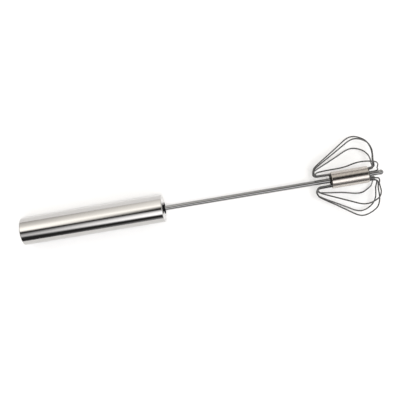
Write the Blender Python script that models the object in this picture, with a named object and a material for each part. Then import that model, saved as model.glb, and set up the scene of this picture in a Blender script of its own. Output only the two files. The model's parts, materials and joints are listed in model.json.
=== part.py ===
"""Push-type rotary whisk, lying on its side.

A hollow steel handle holds a spring and a drive nut with a twisted slot. A rod with a twisted
upper part runs through the nut. Pushing the handle down drives the rod into it, the twist turns
the rod and the wire head at its other end, and the spring pushes the rod out again.

Every piece is modelled along the tool's own axis, local +X, from the butt of the handle at 0 to
the rounded tip of the rod. The empty called tool lays the whole thing down on z = 0.
"""
import math

import bmesh
import bpy

MM = 0.001

# Overall sizes, measured along the axis from the butt
TOTAL_LENGTH = 254.0 * MM
HANDLE_LENGTH = 100.8 * MM
HANDLE_RADIUS = 9.5 * MM
HANDLE_WALL = 0.8 * MM
RIM_RADIUS = 0.5 * MM
FERRULE_START = 218.3 * MM
FERRULE_LENGTH = 25.0 * MM
FERRULE_RADIUS = 5.8 * MM
FERRULE_WALL = 0.6 * MM
ROD_RADIUS = 1.65 * MM

# Fits
GAP = 0.3 * MM
RUNNING_GAP = 0.2 * MM

# The twisted drive
STROKE = 30.0 * MM
LEAD = 15.0 * MM
STRIP_HALF_WIDTH = 1.35 * MM
STRIP_HALF_THICKNESS = 0.55 * MM
SLOT_CLEARANCE = 0.3 * MM
NUT_LENGTH = 8.0 * MM
NUT_CLEARANCE = 1.3 * MM
TWIST_STEPS_PER_TURN = 24

# Pieces stacked inside the handle
LIP_RADIUS = 8.0 * MM
CAP_THICKNESS = 1.1 * MM
CAP_FLANGE = 1.0 * MM
SLEEVE_WALL = 1.0 * MM
SEAT_THICKNESS = 2.5 * MM
BOSS_RADIUS = 3.6 * MM
BOSS_HEIGHT = 1.5 * MM
FOLLOWER_START = 42.5 * MM
FOLLOWER_THICKNESS = 3.0 * MM
WASHER_RADIUS = 3.2 * MM
WASHER_THICKNESS = 0.6 * MM
ROD_HEAD_RADIUS = 2.4 * MM
ROD_HEAD_LENGTH = 1.5 * MM
COLLAR_RADIUS = 3.2 * MM
COLLAR_LENGTH = 2.2 * MM

# Guide bush in the mouth
BUSH_RADIUS = 2.4 * MM
BUSH_FLANGE_RADIUS = 4.05 * MM
BUSH_FLANGE_THICKNESS = 0.6 * MM
BUSH_FLANGE_GAP = 0.5 * MM
BUSH_INNER_END = 92.3 * MM
LOCK_RING_RADIUS = 5.2 * MM
LOCK_RING_THICKNESS = 1.0 * MM

# The nut lies clear of the stop collar even when the rod is pushed all the way in
COLLAR_START = BUSH_INNER_END - GAP - COLLAR_LENGTH
NUT_START = COLLAR_START - STROKE - NUT_CLEARANCE - NUT_LENGTH

# Return spring
SPRING_RADIUS = 5.0 * MM
SPRING_WIRE_RADIUS = 0.4 * MM
SPRING_TURNS = 9
SPRING_END_PITCH = 1.2 * MM
SPRING_STEPS_PER_TURN = 16

# Whisk wires
WIRE_RADIUS = 0.45 * MM
WIRE_CIRCLE_RADIUS = 4.4 * MM
HUB_RECESS = 1.5 * MM
TWIST_BLEND_RADIUS = 24.0 * MM
WIRE_TURN_STEP = math.radians(11.0)
TIP_SWELL = 0.2 * MM

# Side walls of turned pieces
FINE_SIDES = 48
SIDES = 32
SMALL_SIDES = 24
WIRE_BEVEL_RESOLUTION = 1

# Each hand-bent loop: its angle about the axis, in degrees from local +Y towards +Z, at the
# ferrule's near end, at its crest and at the ferrule's far end, then how far its heel, shoulder,
# nose and ear lie towards the tip in millimetres, and how wide it is
LOOPS = (
    (-12.0, -10.0, -10.0, 0.0, -1.3, 0.1, -1.3, 1.025),
    (8.0, 21.0, 24.0, 0.4, -2.0, -1.0, -1.3, 0.985),
    (28.0, 71.0, 71.0, 0.6, -3.0, -0.5, -0.1, 1.0),
    (138.0, 134.0, 134.0, 0.8, -2.0, -0.4, 0.2, 1.0),
    (170.0, 175.0, 175.0, 0.2, -2.6, -0.2, -0.2, 1.0),
    (190.0, 205.0, 205.0, 0.6, -1.5, -1.0, -0.5, 0.99),
    (211.0, 243.0, 241.0, 1.2, 1.0, -1.4, -1.0, 1.0),
    (326.0, 317.0, 317.0, 0.0, -0.6, -0.5, -1.3, 1.0),
)

STEEL = (0.62, 0.61, 0.60)
SPRING_STEEL = (0.55, 0.55, 0.56)
BLACK_NYLON = (0.02, 0.02, 0.022)
WHITE_ACETAL = (0.82, 0.81, 0.78)


def clear_scene():
    for obj in list(bpy.data.objects):
        bpy.data.objects.remove(obj, do_unlink=True)


def make_material(name, color, metallic, roughness):
    material = bpy.data.materials.new(name)
    material.use_nodes = True
    shader = material.node_tree.nodes["Principled BSDF"]
    shader.inputs["Base Color"].default_value = (*color, 1.0)
    shader.inputs["Metallic"].default_value = metallic
    shader.inputs["Roughness"].default_value = roughness
    return material


def make_empty(name, parent=None):
    empty = bpy.data.objects.new(name, None)
    empty.empty_display_size = 10 * MM
    empty.parent = parent
    bpy.context.scene.collection.objects.link(empty)
    return empty


def place(name, data, material, parent, along):
    """Links an object whose origin is on the tool's axis, at the given distance from the butt."""
    obj = bpy.data.objects.new(name, data)
    data.materials.append(material)
    obj.parent = parent
    obj.location = (along, 0.0, 0.0)
    bpy.context.scene.collection.objects.link(obj)
    return obj


def arc(center, radius, start, end, steps):
    """Points of an arc in the (along, out) plane, with its angles in degrees."""
    points = []
    for step in range(steps + 1):
        angle = math.radians(start + (end - start) * step / steps)
        points.append((center[0] + radius * math.cos(angle), center[1] + radius * math.sin(angle)))
    return points


def turned_mesh(name, outline, sides=SIDES, ring=False):
    """Turns an outline of (along, out) points about the axis.

    A ring's outline closes on itself. Any other outline starts and ends on the axis.
    """
    bm = bmesh.new()
    rows = []
    for along, out in outline:
        if out == 0.0:
            rows.append([bm.verts.new((along, 0.0, 0.0))])
            continue
        row = []
        for side in range(sides):
            angle = math.tau * side / sides
            row.append(bm.verts.new((along, out * math.cos(angle), out * math.sin(angle))))
        rows.append(row)
    following = rows[1:] + rows[:1] if ring else rows[1:]
    for near, far in zip(rows, following):
        for side in range(sides):
            after = (side + 1) % sides
            corners = [near[side % len(near)], far[side % len(far)]]
            if len(far) > 1:
                corners.append(far[after])
            if len(near) > 1:
                corners.append(near[after])
            bm.faces.new(corners)
    bmesh.ops.recalc_face_normals(bm, faces=bm.faces)
    mesh = bpy.data.meshes.new(name)
    bm.to_mesh(mesh)
    bm.free()
    mesh.shade_smooth()
    mesh.set_sharp_from_angle(angle=math.radians(35.0))
    return mesh


def tube_outline(start, end, inner, outer):
    return [(start, inner), (start, outer), (end, outer), (end, inner)]


def twisted_bar_mesh(name, start, end, half_width, half_thickness):
    """A flat bar twisted about the axis, at an angle set by its distance from the butt."""
    bm = bmesh.new()
    steps = math.ceil((end - start) / LEAD * TWIST_STEPS_PER_TURN)
    corners = ((1, 1), (-1, 1), (-1, -1), (1, -1))
    rows = []
    for step in range(steps + 1):
        along = start + (end - start) * step / steps
        turn = math.tau * along / LEAD
        row = []
        for wide, thick in corners:
            y = wide * half_width
            z = thick * half_thickness
            row.append(bm.verts.new((
                along,
                y * math.cos(turn) - z * math.sin(turn),
                y * math.sin(turn) + z * math.cos(turn),
            )))
        rows.append(row)
    for near, far in zip(rows, rows[1:]):
        for side in range(4):
            after = (side + 1) % 4
            bm.faces.new((near[side], far[side], far[after], near[after]))
    bm.faces.new(rows[0])
    bm.faces.new(rows[-1])
    bmesh.ops.triangulate(bm, faces=bm.faces)
    bmesh.ops.recalc_face_normals(bm, faces=bm.faces)
    mesh = bpy.data.meshes.new(name)
    bm.to_mesh(mesh)
    bm.free()
    return mesh


def add_boolean(obj, other, operation):
    """Cuts with, or joins, another closed solid, which is then only a guide."""
    other.hide_render = True
    other.display_type = "WIRE"
    modifier = obj.modifiers.new(operation.lower(), "BOOLEAN")
    modifier.operation = operation
    modifier.solver = "EXACT"
    modifier.object = other


def wire_curve(name, points, radius, cyclic):
    """A round wire along a list of points."""
    curve = bpy.data.curves.new(name, "CURVE")
    curve.dimensions = "3D"
    curve.bevel_depth = radius
    curve.bevel_resolution = WIRE_BEVEL_RESOLUTION
    curve.use_fill_caps = not cyclic
    spline = curve.splines.new("POLY")
    spline.points.add(len(points) - 1)
    for point, place_at in zip(spline.points, points):
        point.co = (*place_at, 1.0)
    spline.use_cyclic_u = cyclic
    return curve


def make_handle(material, parent):
    """The handle's tube, with a rolled-in rim at both ends."""
    bore = HANDLE_RADIUS - HANDLE_WALL
    shoulder = HANDLE_RADIUS - RIM_RADIUS
    outline = arc((RIM_RADIUS, shoulder), RIM_RADIUS, 180.0, 90.0, 4)
    outline += arc((HANDLE_LENGTH - RIM_RADIUS, shoulder), RIM_RADIUS, 90.0, 0.0, 4)
    outline += [
        (HANDLE_LENGTH, LIP_RADIUS),
        (HANDLE_LENGTH - HANDLE_WALL, LIP_RADIUS),
        (HANDLE_LENGTH - HANDLE_WALL, bore),
        (HANDLE_WALL, bore),
        (HANDLE_WALL, LIP_RADIUS),
        (0.0, LIP_RADIUS),
    ]
    mesh = turned_mesh("handle_tube", outline, FINE_SIDES, ring=True)
    place("handle_tube", mesh, material, parent, 0.0)


def make_end_caps(material, parent):
    """A disc inside each rim, flush with the rim, with a flange that keeps it in."""
    disc = LIP_RADIUS - GAP
    flange = HANDLE_RADIUS - HANDLE_WALL - GAP
    depth = CAP_THICKNESS + CAP_FLANGE
    outline = [
        (0.0, 0.0),
        (0.0, disc),
        (CAP_THICKNESS, disc),
        (CAP_THICKNESS, flange),
        (depth, flange),
        (depth, 0.0),
    ]
    place("butt_cap", turned_mesh("butt_cap", outline, SIDES), material, parent, 0.0)
    hole = BUSH_RADIUS + GAP
    outline = [
        (0.0, hole),
        (0.0, flange),
        (CAP_FLANGE, flange),
        (CAP_FLANGE, disc),
        (depth, disc),
        (depth, hole),
    ]
    mesh = turned_mesh("mouth_cap", outline, SIDES, ring=True)
    place("mouth_cap", mesh, material, parent, HANDLE_LENGTH - depth)


def make_sleeves(material, parent):
    """Liners that space the nut from the two end caps."""
    outer = HANDLE_RADIUS - HANDLE_WALL - GAP
    inner = outer - SLEEVE_WALL
    cap_depth = CAP_THICKNESS + CAP_FLANGE
    spans = (
        ("spring_sleeve", cap_depth + GAP, NUT_START - GAP),
        ("spacer_sleeve", NUT_START + NUT_LENGTH + GAP, HANDLE_LENGTH - cap_depth - GAP),
    )
    for name, start, end in spans:
        mesh = turned_mesh(name, tube_outline(0.0, end - start, inner, outer), SIDES, ring=True)
        place(name, mesh, material, parent, start)


def make_spring_seats(material, handle, plunger):
    """The fixed seat at the butt, and the follower that the rod's head pushes."""
    radius = HANDLE_RADIUS - HANDLE_WALL - GAP - SLEEVE_WALL - GAP
    seat = [
        (0.0, 0.0),
        (0.0, radius),
        (SEAT_THICKNESS, radius),
        (SEAT_THICKNESS, BOSS_RADIUS),
        (SEAT_THICKNESS + BOSS_HEIGHT, BOSS_RADIUS),
        (SEAT_THICKNESS + BOSS_HEIGHT, 0.0),
    ]
    start = CAP_THICKNESS + CAP_FLANGE + GAP
    place("spring_seat", turned_mesh("spring_seat", seat, SIDES), material, handle, start)
    follower = [
        (-BOSS_HEIGHT, 0.0),
        (-BOSS_HEIGHT, BOSS_RADIUS),
        (0.0, BOSS_RADIUS),
        (0.0, radius),
        (FOLLOWER_THICKNESS, radius),
        (FOLLOWER_THICKNESS, 0.0),
    ]
    mesh = turned_mesh("spring_follower", follower, SIDES)
    place("spring_follower", mesh, material, plunger, FOLLOWER_START)


def make_return_spring(material, parent):
    """A compression spring between the seat and the follower, with a close coil at each end."""
    seat_face = CAP_THICKNESS + CAP_FLANGE + GAP + SEAT_THICKNESS
    first = seat_face + GAP + SPRING_WIRE_RADIUS
    length = FOLLOWER_START - GAP - SPRING_WIRE_RADIUS - first
    pitch = (length - 2 * SPRING_END_PITCH) / (SPRING_TURNS - 2)
    points = []
    for step in range(SPRING_TURNS * SPRING_STEPS_PER_TURN + 1):
        turns = step / SPRING_STEPS_PER_TURN
        along = SPRING_END_PITCH * min(turns, 1.0)
        along += pitch * min(max(turns - 1.0, 0.0), SPRING_TURNS - 2)
        along += SPRING_END_PITCH * max(turns - (SPRING_TURNS - 1), 0.0)
        angle = math.tau * turns
        points.append((along, SPRING_RADIUS * math.cos(angle), SPRING_RADIUS * math.sin(angle)))
    curve = wire_curve("return_spring", points, SPRING_WIRE_RADIUS, cyclic=False)
    place("return_spring", curve, material, parent, first)


def make_drive_nut(material, parent):
    """The fixed nut, whose slot has the rod's twist."""
    outline = [
        (0.0, 0.0),
        (0.0, HANDLE_RADIUS - HANDLE_WALL - GAP),
        (NUT_LENGTH, HANDLE_RADIUS - HANDLE_WALL - GAP),
        (NUT_LENGTH, 0.0),
    ]
    nut = place("drive_nut", turned_mesh("drive_nut", outline, SIDES), material, parent, NUT_START)
    overrun = 1.0 * MM
    mesh = twisted_bar_mesh(
        "nut_slot",
        NUT_START - overrun,
        NUT_START + NUT_LENGTH + overrun,
        STRIP_HALF_WIDTH + SLOT_CLEARANCE,
        STRIP_HALF_THICKNESS + SLOT_CLEARANCE,
    )
    add_boolean(nut, place("nut_slot", mesh, material, parent, 0.0), "DIFFERENCE")


def make_guide_bush(material, parent):
    """The bush that guides the rod, with the flange that shows as a ring at the mouth."""
    bore = ROD_RADIUS + RUNNING_GAP
    flange_start = HANDLE_LENGTH + BUSH_FLANGE_GAP - BUSH_INNER_END
    end = flange_start + BUSH_FLANGE_THICKNESS
    edge = 0.25 * MM
    outline = [(0.0, bore), (0.0, BUSH_RADIUS), (flange_start, BUSH_RADIUS)]
    outline += arc((flange_start + edge, BUSH_FLANGE_RADIUS - edge), edge, 180.0, 90.0, 2)
    outline += arc((end - edge, BUSH_FLANGE_RADIUS - edge), edge, 90.0, 0.0, 2)
    outline += [(end, bore)]
    mesh = turned_mesh("guide_bush", outline, SIDES, ring=True)
    place("guide_bush", mesh, material, parent, BUSH_INNER_END)


def make_lock_ring(material, parent):
    """The ring that holds the bush from inside the mouth cap."""
    outline = tube_outline(0.0, LOCK_RING_THICKNESS, BUSH_RADIUS + GAP, LOCK_RING_RADIUS)
    start = HANDLE_LENGTH - CAP_THICKNESS - CAP_FLANGE - GAP - LOCK_RING_THICKNESS
    mesh = turned_mesh("bush_lock_ring", outline, SMALL_SIDES, ring=True)
    place("bush_lock_ring", mesh, material, parent, start)


def make_thrust_washer(material, parent):
    """The washer between the follower and the turning head of the rod."""
    outline = [
        (0.0, 0.0),
        (0.0, WASHER_RADIUS),
        (WASHER_THICKNESS, WASHER_RADIUS),
        (WASHER_THICKNESS, 0.0),
    ]
    start = FOLLOWER_START + FOLLOWER_THICKNESS + GAP
    mesh = turned_mesh("thrust_washer", outline, SMALL_SIDES)
    place("thrust_washer", mesh, material, parent, start)


def make_rod(material, parent):
    """One rod: a riveted head, the twisted drive, the plain rod and its rounded tip."""
    head_start = FOLLOWER_START + FOLLOWER_THICKNESS + WASHER_THICKNESS + 2 * GAP
    head_end = head_start + ROD_HEAD_LENGTH
    round_start = COLLAR_START - GAP
    tip_radius = ROD_RADIUS + TIP_SWELL
    neck = TOTAL_LENGTH - 3.5 * MM
    outline = [
        (round_start, 0.0),
        (round_start, ROD_RADIUS),
        (neck, ROD_RADIUS),
    ]
    outline += arc((TOTAL_LENGTH - tip_radius, 0.0), tip_radius, 90.0, 0.0, 6)[:-1]
    outline += [(TOTAL_LENGTH, 0.0)]
    rod = place("spiral_rod", turned_mesh("spiral_rod", outline, SMALL_SIDES), material, parent, 0.0)
    overlap = 0.8 * MM
    strip = twisted_bar_mesh(
        "rod_twist",
        head_end - overlap,
        round_start + overlap,
        STRIP_HALF_WIDTH,
        STRIP_HALF_THICKNESS,
    )
    add_boolean(rod, place("rod_twist", strip, material, parent, 0.0), "UNION")
    head = [
        (head_start, 0.0),
        (head_start, ROD_HEAD_RADIUS),
        (head_end, ROD_HEAD_RADIUS),
        (head_end, 0.0),
    ]
    mesh = turned_mesh("rod_head", head, SMALL_SIDES)
    add_boolean(rod, place("rod_head", mesh, material, parent, 0.0), "UNION")


def make_stop_collar(material, parent):
    """The collar that meets the bush and stops the rod from leaving the handle."""
    outline = tube_outline(0.0, COLLAR_LENGTH, ROD_RADIUS + GAP, COLLAR_RADIUS)
    mesh = turned_mesh("stop_collar", outline, SMALL_SIDES, ring=True)
    place("stop_collar", mesh, material, parent, COLLAR_START)


def make_ferrule(material, parent):
    """The sleeve round the wires, with softly rounded ends."""
    edge = 0.25 * MM
    inner = FERRULE_RADIUS - FERRULE_WALL
    outline = arc((edge, FERRULE_RADIUS - edge), edge, 180.0, 90.0, 3)
    outline += arc((FERRULE_LENGTH - edge, FERRULE_RADIUS - edge), edge, 90.0, 0.0, 3)
    outline += [(FERRULE_LENGTH, inner), (0.0, inner)]
    mesh = turned_mesh("ferrule", outline, SIDES, ring=True)
    place("ferrule", mesh, material, parent, FERRULE_START)


def make_hub(material, parent):
    """The core between the rod and the wires, set back from the ferrule's ends."""
    outline = tube_outline(
        0.0,
        FERRULE_LENGTH - 2 * HUB_RECESS,
        ROD_RADIUS + GAP,
        WIRE_CIRCLE_RADIUS - WIRE_RADIUS - GAP,
    )
    mesh = turned_mesh("wire_hub", outline, SMALL_SIDES, ring=True)
    place("wire_hub", mesh, material, parent, FERRULE_START + HUB_RECESS)


def loop_outline(heel, shoulder, nose, ear, width):
    """Guide points of a loop as (along, out), in millimetres from the ferrule's near end.

    The wire runs straight through the ferrule, turns back in a small bend above the rod, runs
    straight out to its shoulder and comes round its nose to a small ear past the ferrule.
    """
    length = FERRULE_LENGTH / MM
    root = WIRE_CIRCLE_RADIUS / MM
    return [
        (length, root),
        (length / 2, root),
        (0.0, root),
        (-6.5 + 0.7 * heel, root + 0.1),
        (-9.8 + heel, root + 0.3),
        (-11.4 + heel, 6.2),
        (-11.0 + heel, 8.7),
        (-8.8 + 0.7 * heel, 11.2 * width),
        (2.0 + 0.3 * shoulder, 17.8 * width),
        (12.5 + 0.8 * shoulder, 24.2 * width),
        (16.2 + shoulder, 26.2 * width),
        (19.7 + shoulder, 27.2 * width),
        (23.6 + 0.7 * shoulder + 0.3 * nose, 26.4 * width),
        (27.6 + nose, 23.2 * width),
        (30.0 + nose, 18.5 * width),
        (30.5 + nose, 14.0),
        (30.5 + 0.6 * nose + 0.4 * ear, 10.4),
        (31.0 + ear, 7.6),
        (30.9 + ear, root + 1.0),
        (28.6 + 0.8 * ear, root + 0.1),
    ]


def smooth_closed(points):
    """A Catmull-Rom curve through closed guide points, with more steps where it bends more."""
    count = len(points)
    curve = []
    for index in range(count):
        before, start, end, after = (points[(index + shift) % count] for shift in (-1, 0, 1, 2))
        leaving = math.atan2(end[1] - before[1], end[0] - before[0])
        arriving = math.atan2(after[1] - start[1], after[0] - start[0])
        bend = abs((arriving - leaving + math.pi) % math.tau - math.pi)
        steps = max(1, round(bend / WIRE_TURN_STEP))
        for step in range(steps):
            t = step / steps
            weights = (
                -t + 2 * t ** 2 - t ** 3,
                2 - 5 * t ** 2 + 3 * t ** 3,
                t + 4 * t ** 2 - 3 * t ** 3,
                -t ** 2 + t ** 3,
            )
            curve.append(tuple(
                0.5 * sum(w * p[axis] for w, p in zip(weights, (before, start, end, after)))
                for axis in range(2)
            ))
    return curve


def ease(share):
    """Goes smoothly from 0 to 1 as its argument does, and stays there outside that range."""
    share = min(max(share, 0.0), 1.0)
    return share * share * (3.0 - 2.0 * share)


def loop_points(near_angle, crest_angle, far_angle, *shape):
    """The wire's centre line: its angle about the axis changes between the ferrule and the crest."""
    root = WIRE_CIRCLE_RADIUS / MM
    points = []
    for along, out in smooth_closed(loop_outline(*shape)):
        root_angle = near_angle + (far_angle - near_angle) * ease(along * MM / FERRULE_LENGTH)
        left = 1.0 - min(max((out - root) / (TWIST_BLEND_RADIUS / MM - root), 0.0), 1.0)
        angle = math.radians(crest_angle + (root_angle - crest_angle) * left ** 2)
        points.append((along * MM, out * math.cos(angle) * MM, out * math.sin(angle) * MM))
    return points


def make_loops(material, parent):
    for number, loop in enumerate(LOOPS, start=1):
        name = f"whisk_loop_{number}"
        curve = wire_curve(name, loop_points(*loop), WIRE_RADIUS, cyclic=True)
        place(name, curve, material, parent, FERRULE_START)


def resting_tilt():
    """The slope at which the handle's butt rim and the lowest wire touch the same flat surface."""
    wires = [point for loop in LOOPS for point in loop_points(*loop)]
    low = 0.0
    high = math.radians(15.0)
    for _ in range(40):
        tilt = (low + high) / 2
        rise = math.sin(tilt)
        level = math.cos(tilt)
        rim = RIM_RADIUS * rise - (HANDLE_RADIUS - RIM_RADIUS) * level - RIM_RADIUS
        wire = min((FERRULE_START + x) * rise + z * level for x, y, z in wires) - WIRE_RADIUS
        if wire < rim:
            low = tilt
        else:
            high = tilt
    return tilt


def lay_down(tool):
    """Tilts the tool to rest on z = 0, centred on the middle of its box."""
    tool.rotation_euler = (0.0, -resting_tilt(), 0.0)
    bpy.context.view_layer.update()
    graph = bpy.context.evaluated_depsgraph_get()
    corners = []
    for obj in bpy.context.scene.objects:
        if obj.type == "EMPTY" or obj.hide_render:
            continue
        evaluated = obj.evaluated_get(graph)
        mesh = evaluated.to_mesh()
        corners += [evaluated.matrix_world @ vertex.co for vertex in mesh.vertices]
        evaluated.to_mesh_clear()
    lows = [min(corner[axis] for corner in corners) for axis in range(3)]
    highs = [max(corner[axis] for corner in corners) for axis in range(3)]
    tool.location = (-(lows[0] + highs[0]) / 2, -(lows[1] + highs[1]) / 2, -lows[2])
    bpy.context.view_layer.update()


def main():
    clear_scene()
    handle_steel = make_material("handle_steel", STEEL, 1.0, 0.18)
    rod_steel = make_material("rod_steel", STEEL, 1.0, 0.15)
    wire_steel = make_material("wire_steel", STEEL, 1.0, 0.22)
    spring_steel = make_material("spring_steel", SPRING_STEEL, 1.0, 0.3)
    black_nylon = make_material("black_nylon", BLACK_NYLON, 0.0, 0.4)
    white_acetal = make_material("white_acetal", WHITE_ACETAL, 0.0, 0.45)

    tool = make_empty("tool")
    handle = make_empty("handle_group", tool)
    plunger = make_empty("plunger_group", tool)
    whisk = make_empty("whisk_group", plunger)

    make_handle(handle_steel, handle)
    make_end_caps(handle_steel, handle)
    make_sleeves(white_acetal, handle)
    make_spring_seats(white_acetal, handle, plunger)
    make_return_spring(spring_steel, plunger)
    make_drive_nut(white_acetal, handle)
    make_guide_bush(black_nylon, handle)
    make_lock_ring(spring_steel, handle)
    make_thrust_washer(spring_steel, plunger)
    make_rod(rod_steel, whisk)
    make_stop_collar(spring_steel, whisk)
    make_ferrule(rod_steel, whisk)
    make_hub(rod_steel, whisk)
    make_loops(wire_steel, whisk)
    lay_down(tool)


main()
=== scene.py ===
"""Looks of a push-type rotary whisk in polished stainless steel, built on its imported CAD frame.

Pieces are modelled in the tool's own axes and in metres: x runs along the tool from the butt of
the handle, y goes across it and z is up from it. Each mesh is then laid down in the frame.
"""
import json
import math

import bmesh
import bpy
from mathutils import Matrix, Vector


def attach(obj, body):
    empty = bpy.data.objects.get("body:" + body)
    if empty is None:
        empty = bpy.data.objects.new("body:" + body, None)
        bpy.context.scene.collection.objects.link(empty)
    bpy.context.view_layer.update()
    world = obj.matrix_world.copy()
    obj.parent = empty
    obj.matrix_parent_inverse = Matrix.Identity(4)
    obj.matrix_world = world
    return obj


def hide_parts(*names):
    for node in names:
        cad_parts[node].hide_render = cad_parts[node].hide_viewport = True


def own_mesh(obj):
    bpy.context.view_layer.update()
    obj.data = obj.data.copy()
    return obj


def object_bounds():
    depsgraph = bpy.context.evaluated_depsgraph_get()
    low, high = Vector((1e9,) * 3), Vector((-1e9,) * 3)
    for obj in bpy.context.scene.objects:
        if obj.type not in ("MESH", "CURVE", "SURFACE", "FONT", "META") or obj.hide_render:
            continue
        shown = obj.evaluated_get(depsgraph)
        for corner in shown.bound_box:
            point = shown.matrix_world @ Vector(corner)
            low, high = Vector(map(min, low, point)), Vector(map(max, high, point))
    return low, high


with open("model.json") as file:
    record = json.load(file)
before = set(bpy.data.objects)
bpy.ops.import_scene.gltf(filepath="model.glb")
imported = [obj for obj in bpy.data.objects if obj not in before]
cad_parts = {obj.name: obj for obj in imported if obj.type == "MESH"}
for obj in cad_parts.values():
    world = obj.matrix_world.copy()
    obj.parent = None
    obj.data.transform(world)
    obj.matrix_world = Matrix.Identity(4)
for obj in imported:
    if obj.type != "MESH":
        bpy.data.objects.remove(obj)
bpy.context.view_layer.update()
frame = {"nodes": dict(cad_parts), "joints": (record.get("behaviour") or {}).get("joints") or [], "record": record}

MM = 0.001

# Sizes as in the CAD
RIM_RADIUS = 0.5 * MM
LIP_RADIUS = 8.0 * MM
HANDLE_WALL = 0.8 * MM
CAP_THICKNESS = 1.1 * MM
BOSS_RADIUS = 3.6 * MM
BOSS_HEIGHT = 1.5 * MM
BUSH_RADIUS = 2.4 * MM
GAP = 0.3 * MM
ROD_RADIUS = 1.65 * MM
ROD_HEAD_LENGTH = 1.5 * MM
TIP_SWELL = 0.2 * MM
LEAD = 15.0 * MM
STRIP_HALF_WIDTH = 1.35 * MM
STRIP_HALF_THICKNESS = 0.55 * MM
SLOT_CLEARANCE = 0.3 * MM
SPRING_RADIUS = 5.0 * MM
SPRING_WIRE_RADIUS = 0.4 * MM
SPRING_TURNS = 9
SPRING_END_PITCH = 1.2 * MM
WIRE_CIRCLE_RADIUS = 4.4 * MM
FERRULE_LENGTH = 25.0 * MM
TWIST_BLEND_RADIUS = 24.0 * MM

# Sizes that look better a little off the CAD's, or that only the visual model has
SEAM_WIDTH = 0.1 * MM
BUSH_FLANGE_THICKNESS = 0.4 * MM
WIRE_RADIUS = 0.48 * MM
# The rings beyond the ferrule's ends are painted shade: near-black, they stand for the shade in the gaps between
# the wires there.
SHADE_RING_INNER_RADIUS = 3.6 * MM
SHADE_RING_OUTER_RADIUS = 4.7 * MM
SHADE_RING_DEPTH = 1.5 * MM
SHADE_RING_STANDOUT = 0.7 * MM
TIP_LENGTH = 3.5 * MM
DRIVE_OVERLAP_AT_HEAD = 0.5 * MM
DRIVE_OVERLAP_AT_ROD = 0.8 * MM
CUTTER_OVERRUN = 1.0 * MM

# How far the edges of each kind of piece are softened
LIP_EDGE = 0.12 * MM
CAP_EDGE = 0.18 * MM
RING_EDGE = 0.15 * MM
LINER_EDGE = 0.2 * MM
FERRULE_EDGE = 0.22 * MM
MOULDED_EDGE = 0.3 * MM
WASHER_EDGE = 0.12 * MM
HEAD_EDGE = 0.35 * MM
SHANK_EDGE = 0.3 * MM
STRIP_EDGE = 0.15 * MM
SLOT_EDGE = 0.1 * MM

# Each loop: its angle about the axis in degrees at the ferrule's near end, at its crest and at
# the ferrule's far end, how far its heel, shoulder, nose and ear lie towards the tip in mm, and
# its width
LOOPS = (
    (-12.0, -10.0, -10.0, 0.0, -1.3, 0.1, -1.3, 1.025),
    (8.0, 21.0, 24.0, 0.4, -2.0, -1.0, -1.3, 0.985),
    (28.0, 71.0, 71.0, 0.6, -3.0, -0.5, -0.1, 1.0),
    (138.0, 134.0, 134.0, 0.8, -2.0, -0.4, 0.2, 1.0),
    (170.0, 175.0, 175.0, 0.2, -2.6, -0.2, -0.2, 1.0),
    (190.0, 205.0, 205.0, 0.6, -1.5, -1.0, -0.5, 0.99),
    (211.0, 243.0, 241.0, 1.2, 1.0, -1.4, -1.0, 1.0),
    (326.0, 317.0, 317.0, 0.0, -0.6, -0.5, -1.3, 1.0),
)

# Fineness of the visible surfaces
HANDLE_SIDES = 192
ROUND_SIDES = 96
SMALL_SIDES = 64
SHARP_ANGLE = math.radians(35.0)
LONGEST_CUT = 0.45
EDGE_STEPS = 4
STRIP_EDGE_STEPS = 3
RIM_STEPS = 12
SWELL_STEPS = 8
GUARD_WIDTH = 0.1 * MM
WIRE_SIDES_RESOLUTION = 5
WIRE_TURN_STEP = math.radians(3.0)
TWIST_STEPS_PER_TURN = 96
SPRING_STEPS_PER_TURN = 64


def tool_matrix():
    """The tool's axes in the frame: its origin is the butt face, its x axis is the rod's."""
    butt = Vector(frame["record"]["mounts"][0]["pos_m"])
    push = next(joint for joint in frame["joints"] if joint["name"] == "push")
    along = -Vector(push["axis"]).normalized()
    across = Vector((0.0, 1.0, 0.0))
    up = along.cross(across).normalized()
    matrix = Matrix((along, across, up)).transposed().to_4x4()
    matrix.translation = butt
    return matrix


TOOL = tool_matrix()
FROM_WORLD = TOOL.inverted()


def reach(node):
    """Where a CAD node starts and ends along the tool, and its least and greatest radius."""
    points = [FROM_WORLD @ vertex.co for vertex in frame["nodes"][node].data.vertices]
    along = [point.x for point in points]
    out = [math.hypot(point.y, point.z) for point in points]
    return min(along), max(along), min(out), max(out)


# ---------------------------------------------------------------- materials

# Noise scales, where a larger one is finer, and the depths of their bumps
MARK_SCALE = 900.0
MARK_DEPTH = 0.004 * MM
MARK_STRENGTH = 0.12
SCRATCH_SCALE = 420.0
SCRATCH_ROUGHNESS = 0.06
PEEL_SCALE = 650.0
PEEL_STRENGTH = 0.5
PLASTIC_GRAIN_SCALE = 2200.0
PLASTIC_GRAIN_DEPTH = 0.01 * MM
PLASTIC_GRAIN_STRENGTH = 0.2
PLASTIC_CLOUD_SCALE = 160.0
PLASTIC_UNEVENNESS = 0.06
# The part of a noise's range that most of it lies in, and the peaks that make the scratches
NOISE_RANGE = (0.3, 0.7)
SCRATCH_RANGE = (0.66, 0.72)
# Noise that isn't drawn out along any axis
EVEN = (1.0, 1.0, 1.0)


def shader_material(name, color, metallic, roughness):
    material = bpy.data.materials.new(name)
    material.use_nodes = True
    shader = material.node_tree.nodes["Principled BSDF"]
    shader.inputs["Base Color"].default_value = (*color, 1.0)
    shader.inputs["Metallic"].default_value = metallic
    shader.inputs["Roughness"].default_value = roughness
    return material, material.node_tree, shader


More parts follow.
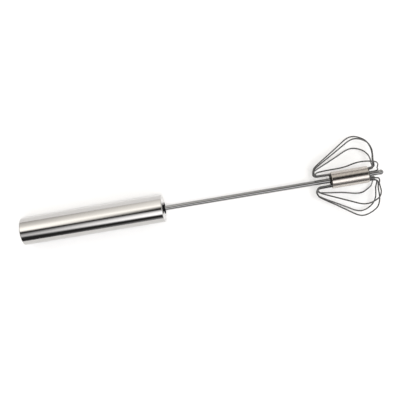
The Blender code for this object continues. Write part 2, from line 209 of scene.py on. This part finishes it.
def mix_colors(tree, factor, first, second):
    """Mixes two colours, each given as three numbers or as a socket."""
    mix = tree.nodes.new("ShaderNodeMix")
    mix.data_type = "RGBA"
    tree.links.new(factor, mix.inputs["Factor"])
    for socket, color in ((mix.inputs["A"], first), (mix.inputs["B"], second)):
        if isinstance(color, tuple):
            socket.default_value = (*color, 1.0)
        else:
            tree.links.new(color, socket)
    return mix.outputs["Result"]


def add_bump(tree, height, strength, distance, normal=None):
    bump = tree.nodes.new("ShaderNodeBump")
    bump.inputs["Strength"].default_value = strength
    bump.inputs["Distance"].default_value = distance
    tree.links.new(height, bump.inputs["Height"])
    if normal is not None:
        tree.links.new(normal, bump.inputs["Normal"])
    return bump.outputs["Normal"]


def add_noise(tree, scale, stretch, detail=4.0):
    """Noise in the tool's axes, whose grains are stretched by the given amounts."""
    nodes = tree.nodes
    coordinates = nodes.new("ShaderNodeTexCoord")
    turn = nodes.new("ShaderNodeMapping")
    turn.inputs["Location"].default_value = FROM_WORLD.translation
    turn.inputs["Rotation"].default_value = FROM_WORLD.to_euler()
    mapping = nodes.new("ShaderNodeMapping")
    mapping.inputs["Scale"].default_value = stretch
    noise = nodes.new("ShaderNodeTexNoise")
    noise.inputs["Scale"].default_value = scale
    noise.inputs["Detail"].default_value = detail
    tree.links.new(coordinates.outputs["Object"], turn.inputs["Vector"])
    tree.links.new(turn.outputs["Vector"], mapping.inputs["Vector"])
    tree.links.new(mapping.outputs["Vector"], noise.inputs["Vector"])
    return noise.outputs["Fac"]


def remap(tree, value, low, high, new_low, new_high):
    node = tree.nodes.new("ShaderNodeMapRange")
    node.inputs["From Min"].default_value = low
    node.inputs["From Max"].default_value = high
    node.inputs["To Min"].default_value = new_low
    node.inputs["To Max"].default_value = new_high
    tree.links.new(value, node.inputs["Value"])
    return node.outputs["Result"]


def math_node(tree, operation, first, second):
    node = tree.nodes.new("ShaderNodeMath")
    node.operation = operation
    for socket, value in zip(node.inputs, (first, second)):
        if isinstance(value, float):
            socket.default_value = value
        else:
            tree.links.new(value, socket)
    return node.outputs["Value"]


def polished_steel(name, color, roughness, grain, cloud_scale=90.0, haze=0.02, marks=0.02,
                   tint=0.03, peel=0.0):
    """Bright steel with a cloudy haze, fine polishing marks, hairline scratches and faint colour.

    grain stretches the polishing marks: a small number along an axis draws them out along it.
    haze and marks are how far clouds and marks change the roughness, tint is how far the clouds
    change the colour, and peel is the height of the polished surface's slow ripples.
    """
    material, tree, shader = shader_material(name, color, 1.0, roughness)
    links = tree.links
    clouds = add_noise(tree, cloud_scale, (0.6, 1.0, 1.0))
    lines = add_noise(tree, MARK_SCALE, grain, 2.0)
    hairs = add_noise(tree, SCRATCH_SCALE, (grain[0] * 0.5, grain[1], grain[2]), 1.0)
    scratch = remap(tree, hairs, *SCRATCH_RANGE, 0.0, 1.0)
    base = remap(tree, clouds, *NOISE_RANGE, roughness - haze, roughness + haze)
    fine = remap(tree, lines, *NOISE_RANGE, -marks, marks)
    total = math_node(tree, "ADD", base, fine)
    rough_scratch = math_node(tree, "MULTIPLY", scratch, SCRATCH_ROUGHNESS)
    links.new(math_node(tree, "ADD", total, rough_scratch), shader.inputs["Roughness"])
    darker = tuple(channel * (1.0 - tint) for channel in color)
    lighter = tuple(min(channel * (1.0 + tint), 1.0) for channel in color)
    links.new(mix_colors(tree, clouds, darker, lighter), shader.inputs["Base Color"])
    waves = None
    if peel:
        ripples = add_noise(tree, PEEL_SCALE, (0.8, 1.0, 1.0), 1.0)
        waves = add_bump(tree, ripples, PEEL_STRENGTH, peel)
    height = math_node(tree, "SUBTRACT", lines, scratch)
    normal = add_bump(tree, height, MARK_STRENGTH, MARK_DEPTH, waves)
    links.new(normal, shader.inputs["Normal"])
    return material


def moulded_plastic(name, color, roughness, mottle, gloss):
    """Moulded plastic with a slight grain and uneven gloss."""
    material, tree, shader = shader_material(name, color, 0.0, roughness)
    shader.inputs["Specular IOR Level"].default_value = gloss
    links = tree.links
    grain = add_noise(tree, PLASTIC_GRAIN_SCALE, EVEN)
    clouds = add_noise(tree, PLASTIC_CLOUD_SCALE, EVEN)
    uneven = remap(tree, clouds, *NOISE_RANGE, roughness - PLASTIC_UNEVENNESS,
                   roughness + PLASTIC_UNEVENNESS)
    links.new(uneven, shader.inputs["Roughness"])
    darker = tuple(channel * (1.0 - mottle) for channel in color)
    links.new(mix_colors(tree, clouds, darker, color), shader.inputs["Base Color"])
    normal = add_bump(tree, grain, PLASTIC_GRAIN_STRENGTH, PLASTIC_GRAIN_DEPTH)
    links.new(normal, shader.inputs["Normal"])
    return material


HANDLE_STEEL = polished_steel("handle_steel", (0.54, 0.53, 0.52), 0.07, (0.04, 1.0, 1.0),
                              peel=0.012 * MM)
# Painted highlight: a lighter copy of the handle's steel, so the end discs look brighter than the same steel
# would.
LIT_END_STEEL = polished_steel("lit_end_steel", (0.74, 0.73, 0.72), 0.3, EVEN)
ROD_STEEL = polished_steel("rod_steel", (0.28, 0.28, 0.28), 0.08, (0.03, 1.0, 1.0))
# Painted reflection: the ferrule's warm brownish base colour stands for the warm surroundings it reflects.
FERRULE_STEEL = polished_steel("ferrule_steel", (0.54, 0.50, 0.465), 0.10, (0.3, 1.0, 1.0),
                               cloud_scale=1100.0, haze=0.05, tint=0.3)
# Painted shade: a much darker copy of the steel, so the thin wires look darker than the same steel would.
SHADED_WIRE_STEEL = polished_steel("wire_steel", (0.14, 0.14, 0.14), 0.2, EVEN)
# Painted shade: near-black steel for the rings that stand for the shade between the wires at the ferrule's ends.
PAINTED_SHADE_RING = polished_steel("painted_shade_ring", (0.05, 0.045, 0.04), 0.4, EVEN)
SPRING_STEEL = polished_steel("spring_steel", (0.55, 0.55, 0.56), 0.28, EVEN)
BLACK_NYLON = moulded_plastic("black_nylon", (0.010, 0.010, 0.011), 0.6, mottle=0.4, gloss=0.0)
WHITE_ACETAL = moulded_plastic("white_acetal", (0.80, 0.79, 0.76), 0.42, mottle=0.08, gloss=0.5)


# ---------------------------------------------------------------- geometry

def ease(share):
    """Goes smoothly from 0 to 1."""
    share = min(max(share, 0.0), 1.0)
    return share * share * (3.0 - 2.0 * share)


def arc(center, radius, start, end, steps):
    """Points of an arc in the (along, out) plane, with its angles in degrees."""
    points = []
    for step in range(steps + 1):
        angle = math.radians(start + (end - start) * step / steps)
        points.append((center[0] + radius * math.cos(angle), center[1] + radius * math.sin(angle)))
    return points


def round_corners(corners, radius, closed=False, steps=EDGE_STEPS):
    """Rounds an outline's corners, cutting at most the named share of each side.

    Corners on the axis stay sharp, as do the ends of an open outline.
    """
    points = []
    count = len(corners)
    for index, corner in enumerate(corners):
        at_end = not closed and index in (0, count - 1)
        if at_end or corner[1] <= 0.0:
            points.append(corner)
            continue
        here = Vector(corner)
        before = Vector(corners[index - 1]) - here
        after = Vector(corners[(index + 1) % count]) - here
        cut = min(radius, before.length * LONGEST_CUT, after.length * LONGEST_CUT)
        start = here + before.normalized() * cut
        end = here + after.normalized() * cut
        for step in range(steps + 1):
            t = step / steps
            point = start * (1 - t) ** 2 + here * 2 * t * (1 - t) + end * t ** 2
            points.append((point.x, point.y))
    return points


def finish_mesh(bm, name):
    bmesh.ops.recalc_face_normals(bm, faces=bm.faces)
    mesh = bpy.data.meshes.new(name)
    bm.to_mesh(mesh)
    bm.free()
    mesh.shade_smooth()
    mesh.set_sharp_from_angle(angle=SHARP_ANGLE)
    return mesh


def guard_edges(outline, closed):
    """Adds points beside the ends of each long side, so that shading stays flat along it."""
    points = []
    following = outline[1:] + outline[:1] if closed else outline[1:]
    for near, far in zip(outline, following):
        points.append(near)
        length = math.dist(near, far)
        if length > 3 * GUARD_WIDTH:
            for share in (GUARD_WIDTH / length, 1.0 - GUARD_WIDTH / length):
                points.append(tuple(a + (b - a) * share for a, b in zip(near, far)))
    if not closed:
        points.append(outline[-1])
    return points


def add_turned(bm, outline, sides, ring=False):
    """Turns an outline about the tool's axis. A ring's outline closes on itself."""
    rows = []
    for along, out in guard_edges(outline, ring):
        if out <= 0.0:
            rows.append([bm.verts.new((along, 0.0, 0.0))])
            continue
        row = []
        for side in range(sides):
            angle = math.tau * side / sides
            row.append(bm.verts.new((along, out * math.cos(angle), out * math.sin(angle))))
        rows.append(row)
    following = rows[1:] + rows[:1] if ring else rows[1:]
    for near, far in zip(rows, following):
        for side in range(sides):
            after = (side + 1) % sides
            corners = [near[side % len(near)], far[side % len(far)]]
            if len(far) > 1:
                corners.append(far[after])
            if len(near) > 1:
                corners.append(near[after])
            bm.faces.new(corners)


def turned_mesh(name, outline, sides=ROUND_SIDES, ring=False):
    bm = bmesh.new()
    add_turned(bm, outline, sides, ring)
    return finish_mesh(bm, name)


def add_twisted_bar(bm, start, end, half_width, half_thickness, edge):
    """A flat bar with rounded edges, twisted about the axis as its place along it says."""
    section = round_corners([
        (half_width, half_thickness),
        (-half_width, half_thickness),
        (-half_width, -half_thickness),
        (half_width, -half_thickness),
    ], edge, closed=True, steps=STRIP_EDGE_STEPS)
    steps = math.ceil((end - start) / LEAD * TWIST_STEPS_PER_TURN)
    rows = []
    for step in range(steps + 1):
        along = start + (end - start) * step / steps
        turn = math.tau * along / LEAD
        cos, sin = math.cos(turn), math.sin(turn)
        rows.append([bm.verts.new((along, y * cos - z * sin, y * sin + z * cos))
                     for y, z in section])
    count = len(section)
    for near, far in zip(rows, rows[1:]):
        for side in range(count):
            after = (side + 1) % count
            bm.faces.new((near[side], far[side], far[after], near[after]))
    bm.faces.new(rows[0])
    bm.faces.new(rows[-1])


def show(name, data, material, node, body):
    """Lays a piece down in place of its CAD node."""
    data.transform(TOOL)
    data.materials.append(material)
    piece = bpy.data.objects.new(name, data)
    bpy.context.scene.collection.objects.link(piece)
    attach(piece, body)
    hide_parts(node)
    return piece


# ---------------------------------------------------------------- handle

def make_handle_tube():
    start, end, _, outer = reach("handle_tube")
    shoulder = outer - RIM_RADIUS
    bore = outer - HANDLE_WALL
    lip = [
        (end, LIP_RADIUS),
        (end - HANDLE_WALL, LIP_RADIUS),
        (end - HANDLE_WALL, bore),
        (start + HANDLE_WALL, bore),
        (start + HANDLE_WALL, LIP_RADIUS),
        (start, LIP_RADIUS),
    ]
    outline = arc((start + RIM_RADIUS, shoulder), RIM_RADIUS, 180.0, 90.0, RIM_STEPS)
    outline += arc((end - RIM_RADIUS, shoulder), RIM_RADIUS, 90.0, 0.0, RIM_STEPS)
    outline += round_corners(lip, LIP_EDGE)
    mesh = turned_mesh("handle_shell", outline, HANDLE_SIDES, ring=True)
    show("handle_shell", mesh, HANDLE_STEEL, "handle_tube", "handle")


def make_butt_cap():
    """A flat disc with a softened edge, pressed in from inside."""
    start, end, _, flange = reach("butt_cap")
    disc = LIP_RADIUS - SEAM_WIDTH
    outline = round_corners([
        (start, 0.0),
        (start, disc),
        (start + CAP_THICKNESS, disc),
        (start + CAP_THICKNESS, flange),
        (end, flange),
        (end, 0.0),
    ], CAP_EDGE)
    mesh = turned_mesh("butt_disc", outline)
    show("butt_disc", mesh, LIT_END_STEEL, "butt_cap", "handle")


def make_mouth_cap():
    start, end, hole, flange = reach("mouth_cap")
    disc = LIP_RADIUS - SEAM_WIDTH
    outline = round_corners([
        (start, hole),
        (start, flange),
        (end - CAP_THICKNESS, flange),
        (end - CAP_THICKNESS, disc),
        (end, disc),
        (end, hole),
    ], CAP_EDGE, closed=True)
    mesh = turned_mesh("mouth_disc", outline, ring=True)
    show("mouth_disc", mesh, LIT_END_STEEL, "mouth_cap", "handle")


def tube_outline(start, end, inner, outer, edge):
    return round_corners([(start, inner), (start, outer), (end, outer), (end, inner)],
                         edge, closed=True)


def make_plain_ring(name, node, body, material, edge):
    """Any sleeve, ring or collar: a bored cylinder with softened edges."""
    mesh = turned_mesh(name, tube_outline(*reach(node), edge), ring=True)
    show(name, mesh, material, node, body)


def make_guide_bush():
    """The black bush: its flange is the ring that shows at the mouth."""
    start, end, bore, flange = reach("guide_bush")
    face = end - BUSH_FLANGE_THICKNESS
    outline = round_corners([
        (start, bore),
        (start, BUSH_RADIUS),
        (face, BUSH_RADIUS),
        (face, flange),
        (end, flange),
        (end, bore),
    ], RING_EDGE, closed=True)
    mesh = turned_mesh("mouth_bush", outline, ring=True)
    show("mouth_bush", mesh, BLACK_NYLON, "guide_bush", "handle")


def make_spring_seats():
    """The fixed seat at the butt and the follower, each with a boss inside the spring."""
    start, end, _, outer = reach("spring_seat")
    outline = round_corners([
        (start, 0.0),
        (start, outer),
        (end - BOSS_HEIGHT, outer),
        (end - BOSS_HEIGHT, BOSS_RADIUS),
        (end, BOSS_RADIUS),
        (end, 0.0),
    ], MOULDED_EDGE)
    mesh = turned_mesh("seat_plug", outline)
    show("seat_plug", mesh, WHITE_ACETAL, "spring_seat", "handle")
    start, end, _, outer = reach("spring_follower")
    outline = round_corners([
        (start, 0.0),
        (start, BOSS_RADIUS),
        (start + BOSS_HEIGHT, BOSS_RADIUS),
        (start + BOSS_HEIGHT, outer),
        (end, outer),
        (end, 0.0),
    ], MOULDED_EDGE)
    mesh = turned_mesh("follower_plug", outline)
    show("follower_plug", mesh, WHITE_ACETAL, "spring_follower", "plunger")


def disc_outline(node, edge):
    start, end, _, outer = reach(node)
    return round_corners([(start, 0.0), (start, outer), (end, outer), (end, 0.0)], edge)


def make_thrust_washer():
    outline = disc_outline("thrust_washer", WASHER_EDGE)
    mesh = turned_mesh("thrust_disc", outline, SMALL_SIDES)
    show("thrust_disc", mesh, SPRING_STEEL, "thrust_washer", "plunger")


def make_drive_nut():
    """The nut, cut through by a slot with the rod's twist."""
    mesh = turned_mesh("twist_nut", disc_outline("drive_nut", MOULDED_EDGE))
    nut = show("twist_nut", mesh, WHITE_ACETAL, "drive_nut", "handle")
    start, end, _, _ = reach("drive_nut")
    bm = bmesh.new()
    add_twisted_bar(bm, start - CUTTER_OVERRUN, end + CUTTER_OVERRUN,
                    STRIP_HALF_WIDTH + SLOT_CLEARANCE, STRIP_HALF_THICKNESS + SLOT_CLEARANCE,
                    SLOT_EDGE)
    cutter = bpy.data.objects.new("slot_cutter", finish_mesh(bm, "slot_cutter"))
    cutter.data.transform(TOOL)
    bpy.context.scene.collection.objects.link(cutter)
    cut = nut.modifiers.new("slot", "BOOLEAN")
    cut.operation = "DIFFERENCE"
    cut.solver = "EXACT"
    cut.object = cutter
    bpy.context.view_layer.update()
    graph = bpy.context.evaluated_depsgraph_get()
    cut_mesh = bpy.data.meshes.new_from_object(nut.evaluated_get(graph))
    nut.modifiers.clear()
    nut.data = cut_mesh
    bpy.data.objects.remove(cutter)


def wire_curve(name, points, radius, cyclic):
    """A round wire along a list of points."""
    curve = bpy.data.curves.new(name, "CURVE")
    curve.dimensions = "3D"
    curve.bevel_depth = radius
    curve.bevel_resolution = WIRE_SIDES_RESOLUTION
    curve.use_fill_caps = not cyclic
    spline = curve.splines.new("POLY")
    spline.points.add(len(points) - 1)
    for point, place_at in zip(spline.points, points):
        point.co = (*place_at, 1.0)
    spline.use_cyclic_u = cyclic
    spline.use_smooth = True
    return curve


def make_return_spring():
    """The compression spring, with a close coil at each end. The real one shortens as the rod goes in; this one
    keeps its length and moves with the plunger.
    """
    start, end, _, _ = reach("return_spring")
    first = start + SPRING_WIRE_RADIUS
    length = end - SPRING_WIRE_RADIUS - first
    pitch = (length - 2 * SPRING_END_PITCH) / (SPRING_TURNS - 2)
    points = []
    for step in range(SPRING_TURNS * SPRING_STEPS_PER_TURN + 1):
        turns = step / SPRING_STEPS_PER_TURN
        along = first + SPRING_END_PITCH * min(turns, 1.0)
        along += pitch * min(max(turns - 1.0, 0.0), SPRING_TURNS - 2)
        along += SPRING_END_PITCH * max(turns - (SPRING_TURNS - 1), 0.0)
        angle = math.tau * turns
        points.append((along, SPRING_RADIUS * math.cos(angle), SPRING_RADIUS * math.sin(angle)))
    curve = wire_curve("coil_spring", points, SPRING_WIRE_RADIUS, cyclic=False)
    bent = bpy.data.objects.new("bent_wire", curve)
    mesh = bpy.data.meshes.new_from_object(bent)
    bpy.data.objects.remove(bent)
    spring = show("coil_spring", mesh, SPRING_STEEL, "return_spring", "plunger")
    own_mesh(spring)


# ---------------------------------------------------------------- whisk

def make_rod():
    """The head, the twisted drive, the plain rod and the rounded tip, as one mesh."""
    head_start, end, _, head_radius = reach("spiral_rod")
    round_start = reach("stop_collar")[0] - GAP
    head_end = head_start + ROD_HEAD_LENGTH
    tip_radius = ROD_RADIUS + TIP_SWELL
    bm = bmesh.new()
    add_turned(bm, round_corners([
        (head_start, 0.0),
        (head_start, head_radius),
        (head_end, head_radius),
        (head_end, 0.0),
    ], HEAD_EDGE), SMALL_SIDES)
    add_twisted_bar(bm, head_end - DRIVE_OVERLAP_AT_HEAD, round_start + DRIVE_OVERLAP_AT_ROD,
                    STRIP_HALF_WIDTH, STRIP_HALF_THICKNESS, STRIP_EDGE)
    tip_start = end - TIP_LENGTH
    shank = round_corners([(round_start, 0.0), (round_start, ROD_RADIUS),
                           (tip_start, ROD_RADIUS)], SHANK_EDGE)
    swell = []
    for step in range(1, SWELL_STEPS + 1):
        share = step / SWELL_STEPS
        swell.append((tip_start + share * (TIP_LENGTH - tip_radius),
                      ROD_RADIUS + TIP_SWELL * ease(share)))
    dome = arc((end - tip_radius, 0.0), tip_radius, 90.0, 0.0, RIM_STEPS)[1:-1]
    add_turned(bm, shank + swell + dome + [(end, 0.0)], SMALL_SIDES)
    mesh = finish_mesh(bm, "drive_rod")
    show("drive_rod", mesh, ROD_STEEL, "spiral_rod", "whisk")


def make_ferrule():
    make_plain_ring("ferrule_sleeve", "ferrule", "whisk", FERRULE_STEEL,
                    FERRULE_EDGE)


def make_hub():
    """The core that the wires lie on, with a near-black ring of painted shade at each end, standing for the shade
    in the gaps between the wires at the ferrule's ends.
    """
    make_plain_ring("hub_core", "wire_hub", "whisk", ROD_STEEL, LINER_EDGE)
    start, end, _, _ = reach("ferrule")
    for name, inside, outside in (("near_shade_ring", start + SHADE_RING_DEPTH, start - SHADE_RING_STANDOUT),
                                  ("far_shade_ring", end - SHADE_RING_DEPTH, end + SHADE_RING_STANDOUT)):
        outline = tube_outline(inside, outside, SHADE_RING_INNER_RADIUS, SHADE_RING_OUTER_RADIUS, RING_EDGE)
        show(name, turned_mesh(name, outline, ring=True), PAINTED_SHADE_RING, "wire_hub", "whisk")


def loop_outline(heel, shoulder, nose, ear, width):
    """Guide points of a loop as (along, out), in millimetres from the ferrule's near end."""
    length = FERRULE_LENGTH / MM
    root = WIRE_CIRCLE_RADIUS / MM
    return [
        (length, root),
        (length / 2, root),
        (0.0, root),
        (-6.5 + 0.7 * heel, root + 0.1),
        (-9.8 + heel, root + 0.3),
        (-11.4 + heel, 6.2),
        (-11.0 + heel, 8.7),
        (-8.8 + 0.7 * heel, 11.2 * width),
        (2.0 + 0.3 * shoulder, 17.8 * width),
        (12.5 + 0.8 * shoulder, 24.2 * width),
        (16.2 + shoulder, 26.2 * width),
        (19.7 + shoulder, 27.2 * width),
        (23.6 + 0.7 * shoulder + 0.3 * nose, 26.4 * width),
        (27.6 + nose, 23.2 * width),
        (30.0 + nose, 18.5 * width),
        (30.5 + nose, 14.0),
        (30.5 + 0.6 * nose + 0.4 * ear, 10.4),
        (31.0 + ear, 7.6),
        (30.9 + ear, root + 1.0),
        (28.6 + 0.8 * ear, root + 0.1),
    ]


def smooth_closed(points):
    """A Catmull-Rom curve through closed guide points, with more steps where it bends more."""
    count = len(points)
    curve = []
    for index in range(count):
        before, start, end, after = (points[(index + shift) % count] for shift in (-1, 0, 1, 2))
        leaving = math.atan2(end[1] - before[1], end[0] - before[0])
        arriving = math.atan2(after[1] - start[1], after[0] - start[0])
        bend = abs((arriving - leaving + math.pi) % math.tau - math.pi)
        steps = max(4, round(bend / WIRE_TURN_STEP))
        for step in range(steps):
            t = step / steps
            weights = (
                -t + 2 * t ** 2 - t ** 3,
                2 - 5 * t ** 2 + 3 * t ** 3,
                t + 4 * t ** 2 - 3 * t ** 3,
                -t ** 2 + t ** 3,
            )
            curve.append(tuple(
                0.5 * sum(w * p[axis] for w, p in zip(weights, (before, start, end, after)))
                for axis in range(2)
            ))
    return curve


def make_loops():
    """Eight closed wires, each bent to its own listed shape and a little out of its plane."""
    ferrule_start = reach("ferrule")[0]
    root = WIRE_CIRCLE_RADIUS / MM
    for number, loop in enumerate(LOOPS, start=1):
        near_angle, crest_angle, far_angle, *shape = loop
        points = []
        for along, out in smooth_closed(loop_outline(*shape)):
            root_angle = near_angle + (far_angle - near_angle) * ease(along * MM / FERRULE_LENGTH)
            left = 1.0 - min(max((out - root) / (TWIST_BLEND_RADIUS / MM - root), 0.0), 1.0)
            angle = math.radians(crest_angle + (root_angle - crest_angle) * left ** 2)
            points.append((ferrule_start + along * MM, out * math.cos(angle) * MM,
                           out * math.sin(angle) * MM))
        name = f"wire_loop_{number}"
        curve = wire_curve(name, points, WIRE_RADIUS, cyclic=True)
        show(name, curve, SHADED_WIRE_STEEL, f"whisk_loop_{number}", "whisk")


# ---------------------------------------------------------------- stage

# The camera looks straight down on the tool's middle, half a metre above the butt's centre
CAMERA_HEIGHT = 0.5
CAMERA_ALONG = 0.12666
CAMERA_ACROSS = 0.00155
SENSOR_WIDTH = 36.0
VIEW_WIDTH = 0.2825
TOOL_SLOPE_IN_VIEW = math.radians(9.5)
FLOOR_HALF_WIDTH = 3.0
CEILING_POWER = 12.0
CEILING_SIZE = 0.4
CEILING_PLACE = (0.04, -0.05, 1.5)


def make_camera():
    butt = TOOL.translation
    data = bpy.data.cameras.new("camera")
    data.sensor_width = SENSOR_WIDTH
    data.lens = data.sensor_width * CAMERA_HEIGHT / VIEW_WIDTH
    data.clip_start = 0.01
    camera = bpy.data.objects.new("camera", data)
    camera.location = (butt.x + CAMERA_ALONG, butt.y + CAMERA_ACROSS, butt.z + CAMERA_HEIGHT)
    camera.rotation_euler = (0.0, 0.0, -TOOL_SLOPE_IN_VIEW)
    bpy.context.scene.collection.objects.link(camera)
    bpy.context.scene.camera = camera


def make_floor():
    bm = bmesh.new()
    bmesh.ops.create_grid(bm, x_segments=1, y_segments=1, size=FLOOR_HALF_WIDTH)
    mesh = bpy.data.meshes.new("floor")
    bm.to_mesh(mesh)
    bm.free()
    floor = bpy.data.objects.new("floor", mesh)
    floor.location = (0.0, 0.0, min(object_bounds()[0][2], 0.0))
    bpy.context.scene.collection.objects.link(floor)
    material, _, shader = shader_material("floor", (0.9, 0.9, 0.9), 0.0, 0.9)
    shader.inputs["Specular IOR Level"].default_value = 0.1
    mesh.materials.append(material)


# The studio's brightness at each angle from overhead, in degrees: the back wall is at -90, the
# front is at 90. Two long softboxes hang over the tool with a dark gap between them, and they
# aren't quite parallel to it, so the light is given at three places along the room: how far a
# direction leans towards the tip. The ends of the room are plain. Polished steel shows only what
# it reflects, so these were set until its stripes looked like the photo's.
STUDIO = (
    (-0.60, ((-90, 0.4), (90, 0.1))),
    (-0.30, ((-90, 0.55), (-67, 0.85), (-48, 1.12), (-30, 1.85), (-14, 2.1), (-6, 1.35),
             (1, 0.08), (11, 0.03), (23, 0.56), (35, 0.95), (50, 0.04), (75, 0.02), (90, 0.15))),
    (-0.117, ((-90, 0.9), (-45, 1.5), (-28, 1.95), (-12, 0.4), (-5, 0.02), (5, 0.02),
              (17, 1.2), (23, 1.8), (41, 2.3), (54, 0.06), (69, 0.01), (90, 0.5))),
    (0.14, ((-90, 0.5), (-55, 0.85), (-42, 0.85), (-24, 0.02), (-4, 0.01), (11, 0.5),
            (20, 1.9), (38, 2.2), (60, 0.45), (70, 0.15), (90, 0.35))),
    (0.60, ((-90, 0.9), (90, 0.9))),
)
WALL_TINT = (1.03, 1.0, 0.95)
FRONT_TINT = (1.0, 0.99, 1.0)


def make_slice(tree, angle_share, stops):
    """The brightness round one slice of the studio, with a warm back wall."""
    ramp = tree.nodes.new("ShaderNodeValToRGB")
    elements = ramp.color_ramp.elements
    while len(elements) < len(stops):
        elements.new(0.5)
    for element, (angle, level) in zip(elements, stops):
        element.position = (angle + 90.0) / 180.0
        tint = WALL_TINT if angle < 0.0 else FRONT_TINT
        element.color = (*(level * channel for channel in tint), 1.0)
    tree.links.new(angle_share, ramp.inputs["Fac"])
    return ramp.outputs["Color"]


def make_world():
    """The softboxes and the room round them. The camera itself sees plain white instead."""
    world = bpy.data.worlds.new("studio")
    world.use_nodes = True
    tree = world.node_tree
    direction = tree.nodes.new("ShaderNodeTexCoord").outputs["Generated"]
    parts = []
    for axis in (TOOL.col[0], TOOL.col[1], TOOL.col[2]):
        dot = tree.nodes.new("ShaderNodeVectorMath")
        dot.operation = "DOT_PRODUCT"
        tree.links.new(direction, dot.inputs[0])
        dot.inputs[1].default_value = axis[:3]
        parts.append(dot.outputs["Value"])
    along, across, up = parts
    to_front = math_node(tree, "MULTIPLY", across, -1.0)
    angle = math_node(tree, "ARCTAN2", to_front, up)
    share = remap(tree, angle, -math.pi / 2, math.pi / 2, 0.0, 1.0)
    color = make_slice(tree, share, STUDIO[0][1])
    for (low, _), (high, stops) in zip(STUDIO, STUDIO[1:]):
        color = mix_colors(tree, remap(tree, along, low, high, 0.0, 1.0),
                           color, make_slice(tree, share, stops))
    to_camera = tree.nodes.new("ShaderNodeLightPath").outputs["Is Camera Ray"]
    color = mix_colors(tree, to_camera, color, (1.0, 1.0, 1.0))
    tree.links.new(color, tree.nodes["Background"].inputs["Color"])
    bpy.context.scene.world = world
    bpy.context.scene.view_settings.view_transform = "Standard"


def make_ceiling_light():
    """A large soft light that only lights the floor and the plastics."""
    data = bpy.data.lights.new("ceiling", "AREA")
    data.shape = "RECTANGLE"
    data.size = CEILING_SIZE
    data.size_y = CEILING_SIZE
    data.energy = CEILING_POWER
    light = bpy.data.objects.new("ceiling", data)
    light.location = CEILING_PLACE
    light.rotation_euler = Vector(CEILING_PLACE).to_track_quat("Z", "Y").to_euler()
    light.visible_camera = False
    light.visible_glossy = False
    bpy.context.scene.collection.objects.link(light)


make_handle_tube()
make_butt_cap()
make_mouth_cap()
make_plain_ring("spring_liner", "spring_sleeve", "handle", WHITE_ACETAL,
                LINER_EDGE)
make_plain_ring("spacer_liner", "spacer_sleeve", "handle", WHITE_ACETAL,
                LINER_EDGE)
make_plain_ring("lock_ring", "bush_lock_ring", "handle", SPRING_STEEL, RING_EDGE)
make_guide_bush()
make_spring_seats()
make_return_spring()
make_thrust_washer()
make_drive_nut()
make_rod()
make_plain_ring("rod_collar", "stop_collar", "whisk", SPRING_STEEL, LINER_EDGE)
make_ferrule()
make_hub()
make_loops()
make_camera()
make_floor()
make_world()
make_ceiling_light()
